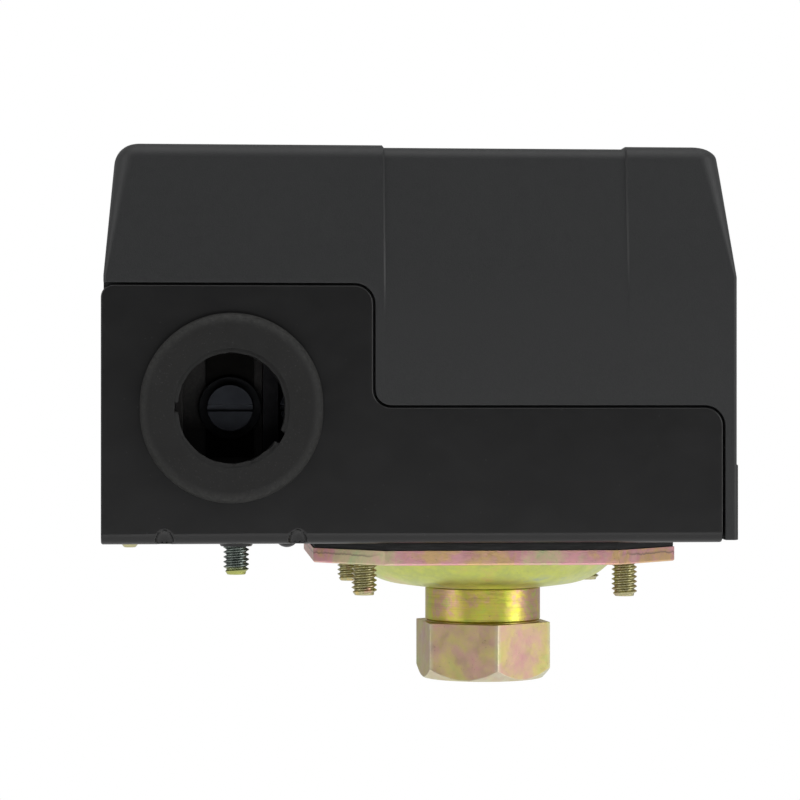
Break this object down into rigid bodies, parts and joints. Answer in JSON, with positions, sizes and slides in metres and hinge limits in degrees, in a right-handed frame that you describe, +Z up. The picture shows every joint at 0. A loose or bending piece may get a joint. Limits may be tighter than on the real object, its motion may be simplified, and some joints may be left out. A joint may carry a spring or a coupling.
{
  "type": "pressure switch",
  "caption": "Diaphragm pressure switch: moulded cover over a bent steel base with grommeted cable entries, an octagonal pressure flange and a hexagonal threaded port below.",
  "frame": {"origin": "centre of the threaded port's end face, on the port axis", "axes": "+Z up along the port axis into the switch, +X along the length of the box towards the end without cable entries, -Y out of the front wall"},
  "size_m": [0.1028, 0.0716, 0.089],
  "materials": {
    "black_steel": "semi-gloss black paint",
    "black_rubber": "matt moulded rubber",
    "diaphragm_rubber": "fabric-reinforced rubber sheet",
    "yellow_zinc": "yellow chromate over zinc, iridescent",
    "yellow_zinc_turned": "yellow chromate over a turned surface",
    "yellow_zinc_screw": "yellow chromate over zinc",
    "zinc_steel": "bright zinc",
    "bright_steel": "bright steel",
    "spring_steel": "oiled spring wire",
    "phenolic": "moulded phenolic",
    "blue_zinc": "clear blue zinc",
    "brass_strip": "stamped brass",
    "silver_contact": "silver button",
    "cover_plastic": "charcoal moulded plastic, fine grain"
  },
  "bodies": {
    "switch_base": {"base_plate": "black_steel", "front_grommet": "black_rubber", "rear_grommet": "black_rubber", "diaphragm": "diaphragm_rubber", "pressure_flange": "yellow_zinc", "port_fitting": "yellow_zinc_turned", "flange_screws": "yellow_zinc_screw", "mechanism_frame": "zinc_steel", "pivot_pin": "bright_steel", "pin_rings": "bright_steel", "toggle_spring": "spring_steel", "range_stud": "zinc_steel", "range_spring": "spring_steel", "contact_block": "phenolic", "block_screws": "yellow_zinc_screw", "block_rivets": "black_steel", "ground_screw": "blue_zinc", "load_terminals": "brass_strip", "line_terminals": "brass_strip", "fixed_contacts": "silver_contact", "wire_clamps": "blue_zinc", "terminal_screws": "blue_zinc", "carrier_yoke": "zinc_steel", "cover_post": "zinc_steel"},
    "cover_unit": {"cover": "cover_plastic", "cover_screw": "blue_zinc"},
    "piston_unit": {"piston": "bright_steel"},
    "lever_unit": {"main_lever": "zinc_steel", "lower_spring_seat": "zinc_steel"},
    "seat_unit": {"upper_spring_seat": "zinc_steel"},
    "nut_unit": {"range_nut": "yellow_zinc_screw"},
    "carrier_unit": {"contact_carrier": "phenolic", "contact_bridges": "brass_strip", "moving_contacts": "silver_contact", "bridge_springs": "spring_steel", "carrier_spring": "spring_steel"}
  },
  "joints": [
    {"name": "cover_lift", "type": "slide", "parent": "switch_base", "child": "cover_unit", "axis": [0, 0, 1], "range_m": [0, 0.07]},
    {"name": "lever_swing", "type": "hinge", "parent": "switch_base", "child": "lever_unit", "pos_m": [0.03, 0, 0.03265], "axis": [0, 1, 0], "range_deg": [0, 4], "stiffness_Nm_per_rad": 0.1, "springref_deg": -11.46, "deforming": ["range_spring"]},
    {"name": "piston_slide", "type": "slide", "parent": "switch_base", "child": "piston_unit", "axis": [0, 0, 1], "range_m": [0, 0.0021]},
    {"name": "carrier_slide", "type": "slide", "parent": "switch_base", "child": "carrier_unit", "axis": [0, 0, 1], "range_m": [0, 0.00364], "deforming": ["carrier_spring"]},
    {"name": "range_setting", "type": "slide", "parent": "switch_base", "child": "seat_unit", "axis": [0, 0, 1], "range_m": [-0.00301, 0.00301], "deforming": ["range_spring"]},
    {"name": "range_nut_turn", "type": "hinge", "parent": "seat_unit", "child": "nut_unit", "pos_m": [0.016, 0, 0.07085], "axis": [0, 0, 1], "range_deg": [-1080, 1080]}
  ],
  "couplings": [
    {"joint": "piston_slide", "follows": "lever_swing", "m_per_rad": 0.03},
    {"joint": "carrier_slide", "follows": "lever_swing", "m_per_rad": 0.0518},
    {"joint": "range_setting", "follows": "range_nut_turn", "m_per_rad": 0.00015915}
  ]
}
